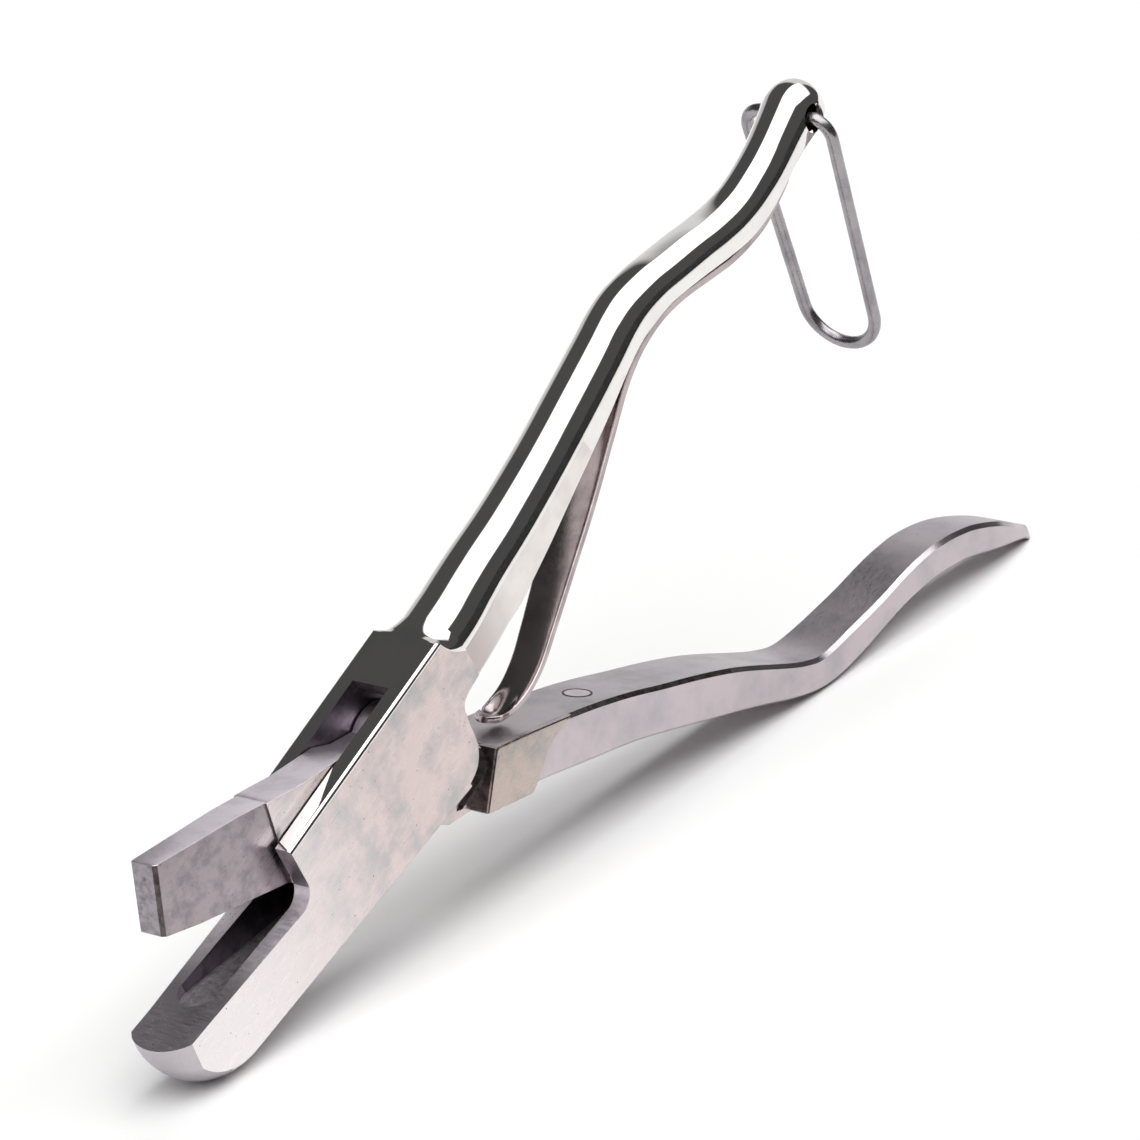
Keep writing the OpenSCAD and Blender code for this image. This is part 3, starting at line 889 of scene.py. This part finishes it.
    def build(self, rack: Rack) -> None:
        """Makes the cheeks with the jaw, and the upper handle.

        Args:
            rack: Where the finishes hang.
        """
        block = Workpiece("cheeks_and_jaw", Blank.plate(self._side(), 2 * self.half_w))
        block.cut(Workpiece("plan_tool", Blank.pillar(self._plan())), "INTERSECT")
        b, w, t = self.cheek_bevel, self.half_w, self.cheek_top
        far = arc((w - b, t - b), b, 0, 90, 7)
        near = [(-y, z) for y, z in reversed(far)]
        bevelled = [(-2 * w, -REACH), (2 * w, -REACH), (2 * w, t - b - 3.0), *far, *near,
                    (-2 * w, t - b - 3.0)]
        block.cut(Workpiece("bevel_tool", Blank.bar(bevelled, -130, 70)), "INTERSECT")
        block.cut(Workpiece("crown_tool", self._crown_front()), "INTERSECT")
        block.cut(Workpiece("under_tool", self._under()), "INTERSECT")
        block.cut(Workpiece("nose_tool", self._nose()), "INTERSECT")
        block.cut(self._slot())
        block.dress(rack, "frame", self.finishes,
                    nodes=("frame", "pivot_pin"), paint=self._ground)
        handle = Workpiece("upper_handle", self._handle())
        handle.cut(self._slot())
        handle.cut(self._bail_hole())
        handle.dress(rack, "frame", ["mirror", "flank"], sharp=38.0,
                     paint=self._polished)


@dataclass
class Lever:
    """Punch bar, web in the slot, root block and the lower handle."""

    bar_half: float = 4.0
    block_half: float = 8.4
    boss_r: float = 8.4
    disc_r: float = 2.95
    disc_at: Point = (45.7, -34.8)
    disc_lean: float = 35.5
    disc_steps: int = 64
    edge_bevel: float = 0.9
    inner: Curve = field(default_factory=lambda: [
        (15.4, -15.2), (26, -21.7), (36, -28.1), (44.5, -33.9), (52.5, -39.9), (60, -46.0),
        (70.4, -54.3), (80.7, -63.3), (93.6, -76.3), (98, -80.3), (101.5, -82.9), (106, -84.7),
        (114, -86.9), (124, -89.4), (134, -91.4), (141.6, -93.6), (146.1, -95.5), (151.9, -98.7),
        (158.2, -103.3), (165.5, -110.3), (171.6, -117.7), (174.8, -121.8)])
    under: Curve = field(default_factory=lambda: [
        (2, -21.4), (9, -25), (20, -30.7), (34, -39.8), (48.4, -49.4), (65.2, -62.5),
        (78.9, -73.4), (89.4, -82.3), (97, -87.9), (104, -91.2), (112.8, -93.6), (125.7, -95.9),
        (132.5, -97.6), (139.9, -100.1), (147.5, -103.9), (152.4, -107), (160.2, -113.1),
        (166.4, -117.8), (170.6, -121.3), (172.9, -124)])
    half: Curve = field(default_factory=lambda: [
        (2, 3.9), (15.6, 3.9), (16.6, 7.98), (40, 7.98), (60, 7.8), (75, 7.6), (90, 7.3),
        (100, 6.8), (112, 6.3), (125, 6.2), (146, 6.0), (153, 5.7), (160, 5.1), (165, 4.5),
        (170, 3.4), (174, 1.9), (176, 0.9)])

    def _lower_handle(self) -> bmesh.types.BMesh:
        """Bar between the inner face and the underside, with bevelled and rounded edges.

        Returns:
            The closed bar.
        """
        count = 200
        top = resample(spline(self.inner, 8), count)
        low = resample(spline(self.under, 8), count)
        rings: list[list[Vector]] = []
        for (x, z), (u, v) in zip(top, low):
            h, g = along(self.half, x), along(self.half, u)
            deep = math.dist((x, z), (u, v))
            b = min(self.edge_bevel, 0.45 * h, 0.4 * deep)
            c = 0.5 * b
            ring = [Vector((x, b - h, z)), Vector((x, h - c, z))]
            for y, t in ((h, c), (g, deep - c)):
                ring.append(Vector((x + (u - x) * t / deep, y, z + (v - z) * t / deep)))
            ring += [Vector((u, g - c, v)), Vector((u, c - g, v))]
            for y, t in ((-g, deep - c), (-h, b)):
                ring.append(Vector((x + (u - x) * t / deep, y, z + (v - z) * t / deep)))
            rings.append(ring)
        return Blank.skin(rings)

    @staticmethod
    def _punch_paint(centre: Vector, normal: Vector) -> str:
        """The end of the punch is worn and painted darker as shade, its ground-off near corner
        painted dark, and its top painted lighter as lit from above.
        """
        if centre.x < -60.0 and normal.x < -0.3 and -0.9 < normal.y < -0.3:
            return "edge"
        if centre.x < -60.0 and normal.x < -0.6:
            return "punch_end"
        return "punch_top" if normal.z > 0.75 else "punch"

    @staticmethod
    def _web_paint(_centre: Vector, normal: Vector) -> str:
        """The web's top is painted lighter as lit from above, and its underside and ends are
        painted dark as shade.
        """
        if normal.z > 0.5:
            return "punch_top"
        return "slot" if abs(normal.y) < 0.5 else "cheek"

    @staticmethod
    def _block_paint(_centre: Vector, normal: Vector) -> str:
        """The block is brushed on top, painted dark along the near top edge as a dark reflection,
        and painted dark in front.
        """
        if normal.z > 0.3 and abs(normal.y) < 0.2:
            return "edge" if normal.x < -0.3 else "grip"
        return "edge" if normal.z > 0.25 and normal.y < -0.3 else "block"

    @staticmethod
    def _bar_paint(centre: Vector, normal: Vector) -> str:
        """The inner face is brushed, and its near edge is painted dark as a dark reflection as far
        as the elbow.
        """
        if normal.z > 0.25 and abs(normal.y) < 0.2:
            return "grip"
        near = normal.z > 0.25 and normal.y < -0.3
        return "edge" if near and centre.x < 78.0 else "lever"

    def _on_handle(self, bm: bmesh.types.BMesh) -> bmesh.types.BMesh:
        """Lays a round piece in the lower handle where the disc is."""
        return Blank.place(bm, self.disc_lean, "Y", (self.disc_at[0], 0.0, self.disc_at[1]))

    def _punch(self) -> bmesh.types.BMesh:
        """Punch that narrows to its worn end, its near corner ground off.

        Returns:
            The closed punch.
        """
        side = [(-62.5, 36.8), (-41.5, 27.0), (-34.0, 23.05), (-30, 14), (-30, 6),
                (-38.2, 5.15), (-45, 9.2), (-60, 18), (-68.5, 23.7)]
        widths = [(-70, 2.8), (-62, 2.9), (-34, 3.6), (-20, 3.6)]
        bm = Blank.plate(side, lambda x: along(widths, x))
        corner = [e for e in bm.edges if all(v.co.x < -62.0 and v.co.y < 0.0 for v in e.verts)]
        bmesh.ops.bevel(bm, geom=corner, offset=0.75, offset_type="OFFSET", segments=1,
                        profile=0.5, affect="EDGES", material=-1)
        return Blank.soften(bm, 0.2)

    def _web(self) -> bmesh.types.BMesh:
        """Web in the slot, round about the pivot.

        Returns:
            The closed web.
        """
        side = [(-34.9, 23.5), (-33.3, 22.8), (-25.4, 18.7), (-14, 13.9), (-9.8, 10.4),
                *arc((0, 0), self.boss_r, 118, 18, 20), (15.4, -15.2), (5.9, -24.2),
                (0, -21.6), (-4, -17.2), (-20, -7), (-37, 4.2), (-38.5, 5.1)]
        return Blank.soften(Blank.plate(side, self.bar_half), 0.2)

    def _block(self) -> bmesh.types.BMesh:
        """Block behind the cheeks, curved where it runs out under the handle.

        Returns:
            The closed block.
        """
        foot = spline([(36, -28.1), (30.5, -27.6), (26.6, -28), (23.2, -29.6), (20.6, -30.8),
                       (18.2, -31.6)], 3)
        side = [(15.4, -15.2), (26, -21.7), *foot, (5.9, -24.2)]
        return Blank.soften(Blank.plate(side, self.block_half), 0.6, clamp=False)

    def _disc(self) -> bmesh.types.BMesh:
        """Disc of the rivet in the lower handle.

        Returns:
            The closed disc.
        """
        profile = [(0.0, -1.5), (self.disc_r, -1.5), (self.disc_r, -0.15),
                   (self.disc_r - 0.14, 0.07), (0.0, 0.07)]
        return self._on_handle(Blank.turned(profile, self.disc_steps))

    def _joint(self) -> bmesh.types.BMesh:
        """Dark ring where the disc meets the handle.

        Returns:
            The closed ring.
        """
        inner, outer, low, high = self.disc_r - 0.34, self.disc_r + 0.06, -0.3, 0.1
        edge = [(inner, low), (inner, high), (outer, high), (outer, low)]
        rings = [[Vector((r * math.cos(t), r * math.sin(t), z)) for r, z in edge]
                 for t in (2 * math.pi * k / self.disc_steps for k in range(self.disc_steps))]
        return self._on_handle(Blank.skin(rings, closed=True))

    def build(self, rack: Rack) -> None:
        """Makes the punch, the web, the block, the lower handle and its disc.

        Args:
            rack: Where the finishes hang.
        """
        Workpiece("punch", self._punch()).dress(
            rack, "lever", ["punch", "punch_end", "punch_top", "edge"], sharp=20.0,
            paint=self._punch_paint)
        Workpiece("punch_web", self._web()).dress(
            rack, "lever", ["cheek", "punch_top", "slot"], sharp=20.0,
            paint=self._web_paint)
        Workpiece("root_block", self._block()).dress(
            rack, "lever", ["block", "grip", "edge"], sharp=20.0, nodes=("lever",),
            paint=self._block_paint)
        Workpiece("lower_handle", self._lower_handle()).dress(
            rack, "lever", ["lever", "grip", "edge"], sharp=24.0, paint=self._bar_paint)
        Workpiece("disc_joint", self._joint()).dress(rack, "lever", ["joint"])
        Workpiece("handle_disc", self._disc()).dress(rack, "lever", ["rivet"],
                                                     nodes=("lever_rivet",))


@dataclass
class LeafSpring:
    """Flat spring under the upper handle, with a pressed cup that rides on the lever."""

    thick: float = 1.8
    tip_thick: float = 1.4
    cup_reach: float = 5.6
    cup_half: float = 3.2
    cup_depth: float = 1.8
    cup_at: float = 27.2
    push_lean: float = -32.5
    tip_at: Point = (24.0, -18.4)
    tip_r: float = 3.4
    line: Curve = field(default_factory=lambda: [
        (152, 5.9), (145.5, 4.15), (139, 3.25), (133, 3.8), (126, 5.4), (119.5, 7.8),
        (111.3, 10.8), (106, 12.2), (101.5, 12.8), (97.5, 12.7), (94, 12.2), (90.2, 11.1),
        (86.6, 9.4), (83.8, 7.7), (79.9, 5.2), (75.1, 2.2), (70.3, -0.9), (64.3, -4.5),
        (57.7, -8.1), (50.5, -12.1), (44.9, -15.2), (38.6, -18.4), (33, -19.8), (28, -19.6),
        (24, -18.4), (21.2, -16.6)])
    half: Curve = field(default_factory=lambda: [
        (22.8, 0.9), (23.8, 2.3), (25.4, 3.1), (28, 3.4), (32, 3.5), (38, 3.7), (45, 3.9),
        (58, 4.4), (76, 5), (90, 5.4), (120, 5.4), (130, 5), (140, 4.5), (149, 4.3),
        (151.6, 3.6), (152.8, 2)])

    def _tip_half(self, x: float, z: float) -> float:
        """Half width of the round tip."""
        past = math.dist((x, z), self.tip_at)
        return 3.0 * math.sqrt(max(0.02, 1.0 - (past / self.tip_r) ** 2))

    def _press(self, spot: Vector) -> float:
        """How far the cup is pressed down at a point of the strip."""
        off = math.hypot((spot.x - self.cup_at) / self.cup_reach, spot.y / self.cup_half)
        return self.cup_depth * math.cos(0.5 * math.pi * min(1.0, off)) ** 1.2

    def build(self, rack: Rack) -> None:
        """Makes the strip with its cup, and finishes the rivet that holds it.

        Args:
            rack: Where the finishes hang.
        """
        run = spline(self.line, 3 * DENSE)
        lean = math.radians(self.push_lean)
        push = Vector((math.sin(lean), 0.0, -math.cos(lean)))
        rings: list[list[Vector]] = []
        last = len(run) - 1
        across = [math.sin(math.radians(a)) for a in range(-90, 91, 10)]
        for i, (x, z) in enumerate(run):
            p, q = run[max(0, i - 1)], run[min(last, i + 1)]
            step = Vector((q[0] - p[0], q[1] - p[1])).normalized()
            t = self.thick + (self.tip_thick - self.thick) * i / last
            h = along(self.half, x) if x > self.tip_at[0] else self._tip_half(x, z)
            e = min(0.25, 0.3 * h)
            low = [(h * a, e * abs(a) ** 14) for a in across]
            high = [(h * a, t - e * abs(a) ** 14) for a in reversed(across)]
            ring = []
            for y, n in low + high:
                spot = Vector((x + step.y * n, y, z - step.x * n))
                ring.append(spot + self._press(spot) * push)
            rings.append(ring)
        strip = Workpiece("leaf_spring_strip", Blank.skin(rings))
        strip.dress(rack, "frame", ["spring"], sharp=40.0,
                    nodes=("leaf_spring",))
        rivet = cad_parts["spring_rivet"]
        for place in rivet.material_slots:
            place.material = rack.get("rivet")


@dataclass
class Bail:
    """Wire loop that hangs in the handle end, slid to the far side."""

    wire_r: float = 1.29
    length: float = 55.9
    bottom_r: float = 8.6
    corner_r: float = 4.5
    lean: float = 2.2
    angle: float = -100.0
    slide: float = 1.7
    at: Point = (161.5, 11.15)

    def _path(self) -> list[Vector]:
        """Middle line of the wire.

        Returns:
            Points round the loop: Y across, Z along the loop, hole at the origin.
        """
        s, c = math.sin(math.radians(self.lean)), math.cos(math.radians(self.lean))
        leg = (self.length - self.corner_r * (1 + s) - self.bottom_r * (1 - s)) / c
        out = (self.bottom_r - self.corner_r) * c + leg * s
        half: list[Vector] = [Vector((0.0, out * k / 8, 0.0)) for k in range(8)]
        for i in range(17):
            a = math.radians((90 + self.lean) * i / 16)
            half.append(Vector((0.0, out + self.corner_r * math.sin(a),
                                -self.corner_r * (1 - math.cos(a)))))
        top = half[-1]
        foot = Vector((0.0, top.y - leg * s, top.z - leg * c))
        half += [top.lerp(foot, k / 24) for k in range(1, 24)]
        mid = self.bottom_r - self.length
        for i in range(33):
            a = math.radians(-self.lean - (90 - self.lean) * i / 32)
            half.append(Vector((0.0, self.bottom_r * math.cos(a),
                                mid + self.bottom_r * math.sin(a))))
        other = [Vector((0.0, -p.y, p.z)) for p in reversed(half[1:-1])]
        return half + other

    def build(self, rack: Rack) -> None:
        """Makes the closed loop of wire.

        Args:
            rack: Where the finishes hang.
        """
        path = self._path()
        count = len(path)
        rings: list[list[Vector]] = []
        for i, p in enumerate(path):
            step = (path[(i + 1) % count] - path[i - 1]).normalized()
            side, out = Vector((0.0, -step.z, step.y)), Vector((1, 0, 0))
            rings.append([p + self.wire_r * (math.cos(t) * side + math.sin(t) * out)
                          for t in (2 * math.pi * k / 32 for k in range(32))])
        bm = Blank.place(Blank.skin(rings, closed=True), -self.angle - 90, "Y",
                         (self.at[0], self.slide, self.at[1]))
        Workpiece("bail_loop", bm).dress(rack, "bail", ["wire"], sharp=60.0,
                                         nodes=("bail",))


@dataclass(frozen=True)
class Studio:
    """Camera, pale floor and an overhead light bank between dark walls."""

    lens: float = 222.9267
    centre: tuple[float, float, float] = (-602.56, -793.584, 878.411)
    right: tuple[float, float, float] = (0.5016595, -0.7964873, -0.3375584)
    up: tuple[float, float, float] = (0.7167561, 0.1642218, 0.6777108)
    back: tuple[float, float, float] = (-0.4843536, -0.5819271, 0.6532706)
    bank: float = 2.5
    end_level: float = 0.30
    dim: float = 0.03
    floor_reach: float = 14.0
    card_at: tuple[float, float, float] = (0.4, -0.62, 0.12)
    card_half: tuple[float, float] = (1.6, 0.12)

    def camera(self) -> None:
        """Places the camera where the photograph was taken from."""
        data = bpy.data.cameras.new("camera")
        data.sensor_width = 36.0
        data.lens = self.lens
        data.clip_start, data.clip_end = 0.05, 60.0
        cam = bpy.data.objects.new("camera", data)
        bpy.context.collection.objects.link(cam)
        turn = PLANE.matrix.to_3x3().normalized()
        axes = [turn @ Vector(v) for v in (self.right, self.up, self.back)]
        pose = Matrix((axes[0], axes[1], axes[2])).transposed().to_4x4()
        pose.translation = PLANE.matrix @ Vector(self.centre)
        cam.matrix_world = pose
        bpy.context.scene.camera = cam

    @staticmethod
    def _sheet(name: str, surface: str, bm: bmesh.types.BMesh, colour: Colour,
               roughness: float) -> tuple[bpy.types.Object, bpy.types.Node]:
        """Makes a flat sheet of one material.

        Args:
            name: Name of the object.
            surface: Name of its material.
            bm: Mesh of the sheet, which is used up.
            colour: Its colour.
            roughness: Its roughness.

        Returns:
            The object and its shader.
        """
        obj = Workpiece(name, bm).obj
        mat = bpy.data.materials.new(surface)
        mat.use_nodes = True
        shader = mat.node_tree.nodes["Principled BSDF"]
        shader.inputs["Base Color"].default_value = (*colour, 1.0)
        shader.inputs["Roughness"].default_value = roughness
        obj.data.materials.append(mat)
        return obj, shader

    def floor(self) -> None:
        """Lays the pale floor."""
        bm = bmesh.new()
        bmesh.ops.create_grid(bm, x_segments=4, y_segments=4, size=self.floor_reach)
        obj, paper = self._sheet("floor", "floor_paper", bm, (0.94, 0.94, 0.935), 0.9)
        paper.inputs["Specular IOR Level"].default_value = 0.1

    def card(self) -> None:
        """Stands a black card on the near side, out of the picture, to darken low reflections."""
        bm = bmesh.new()
        bmesh.ops.create_grid(bm, x_segments=1, y_segments=1, size=1.0)
        bmesh.ops.transform(bm, verts=bm.verts, matrix=Matrix.Translation(self.card_at)
                            @ Matrix.Rotation(math.radians(90), 4, "X")
                            @ Matrix.Diagonal((*self.card_half, 1.0, 1.0)))
        obj, _ = self._sheet("black_card", "black_felt", bm, (0.05, 0.05, 0.05), 1.0)
        obj.visible_camera = False

    def light(self) -> None:
        """Lights the scene: a bank overhead, dark walls at the sides, a pale strip at the back."""
        world = bpy.data.worlds.new("studio")
        world.use_nodes = True
        bpy.context.scene.world = world
        tree = world.node_tree
        link = tree.links.new
        coord = add_node(tree, "ShaderNodeTexCoord")
        parts = add_node(tree, "ShaderNodeSeparateXYZ")
        link(coord.outputs["Generated"], parts.inputs["Vector"])
        turn = self._math(tree, "ARCTAN2", parts.outputs["Z"], parts.outputs["Y"])
        share = self._math(tree, "DIVIDE", turn, math.pi)
        walls = self._ramp(tree, share, [(0.0, self.dim), (0.40, self.dim), (0.43, 1.0),
                                         (0.72, 1.0), (0.745, self.dim), (1.0, self.dim)])
        strip = self._ramp(tree, share, [(0.0, 0.30), (0.09, 0.22), (0.13, 0.0), (1.0, 0.0)])
        behind = self._span(tree, parts, -0.3, 0.0)
        end = self._math(tree, "MULTIPLY", self._span(tree, parts, 0.50, 0.66, self.end_level),
                         self._span(tree, parts, 0.0, 0.15, axis="Y"))
        ends = self._math(tree, "MULTIPLY", self._span(tree, parts, 0.80, 0.62),
                          self._span(tree, parts, -1.0, -0.75))
        walls = self._math(tree, "MAXIMUM", self._math(tree, "MULTIPLY", walls, ends), self.dim)
        low = self._math(tree, "MULTIPLY", strip, behind)
        level = self._math(tree, "MAXIMUM", self._math(tree, "MAXIMUM", walls, low), end)
        sky = tree.nodes["Background"]
        link(level, sky.inputs["Color"])
        sky.inputs["Strength"].default_value = self.bank

    @staticmethod
    def _ramp(tree: bpy.types.NodeTree, share: bpy.types.NodeSocket,
              stops: Sequence[tuple[float, float]]) -> bpy.types.NodeSocket:
        """Grey levels by the angle round the length of the tool, from the far horizon overhead.

        Args:
            tree: Node tree of the world.
            share: Angle as a share of the half turn.
            stops: Pairs of (share, level).

        Returns:
            The level.
        """
        node = add_node(tree, "ShaderNodeValToRGB")
        ramp = node.color_ramp
        while len(ramp.elements) < len(stops):
            ramp.elements.new(0.5)
        for element, (place, level) in zip(ramp.elements, stops):
            element.position = place
            element.color = (level, level, level, 1.0)
        tree.links.new(share, node.inputs["Fac"])
        return node.outputs["Color"]

    @staticmethod
    def _span(tree: bpy.types.NodeTree, parts: bpy.types.Node, start: float, stop: float,
              level: float = 1.0, axis: str = "X") -> bpy.types.NodeSocket:
        """Level that rises from nothing as a direction goes from start to stop.

        Args:
            tree: Node tree of the world.
            parts: Node that splits the direction.
            start: Where the level begins to rise.
            stop: Where it is full.
            level: Full level.
            axis: Axis that start and stop are read on.

        Returns:
            The level.
        """
        node = add_node(tree, "ShaderNodeMapRange", {
            "From Min": start, "From Max": stop, "To Max": level})
        node.interpolation_type = "SMOOTHSTEP"
        tree.links.new(parts.outputs[axis], node.inputs["Value"])
        return node.outputs["Result"]

    @staticmethod
    def _math(tree: bpy.types.NodeTree, how: str, first: bpy.types.NodeSocket,
              second: bpy.types.NodeSocket | float) -> bpy.types.NodeSocket:
        """Joins two levels.

        Args:
            tree: Node tree of the world.
            how: Blender's name of the operation.
            first: First level.
            second: Second level, or a fixed value.

        Returns:
            The result.
        """
        node = add_node(tree, "ShaderNodeMath")
        node.operation = how
        tree.links.new(first, node.inputs[0])
        if isinstance(second, float):
            node.inputs[1].default_value = second
        else:
            tree.links.new(second, node.inputs[1])
        return node.outputs["Value"]

    def build(self) -> None:
        """Sets up camera, floor and light."""
        self.camera()
        self.floor()
        self.card()
        self.light()
        bpy.context.scene.view_settings.view_transform = "Standard"


def main() -> None:
    """Builds the pliers and the studio."""
    logging.basicConfig(level=logging.INFO, format="%(message)s")
    rack = Rack()
    Studio().build()
    for part in (Frame(), Lever(), LeafSpring(), Bail()):
        part.build(rack)
    for mat in list(bpy.data.materials):
        if mat.users == 0:
            bpy.data.materials.remove(mat)


if __name__ == "__main__":
    main()
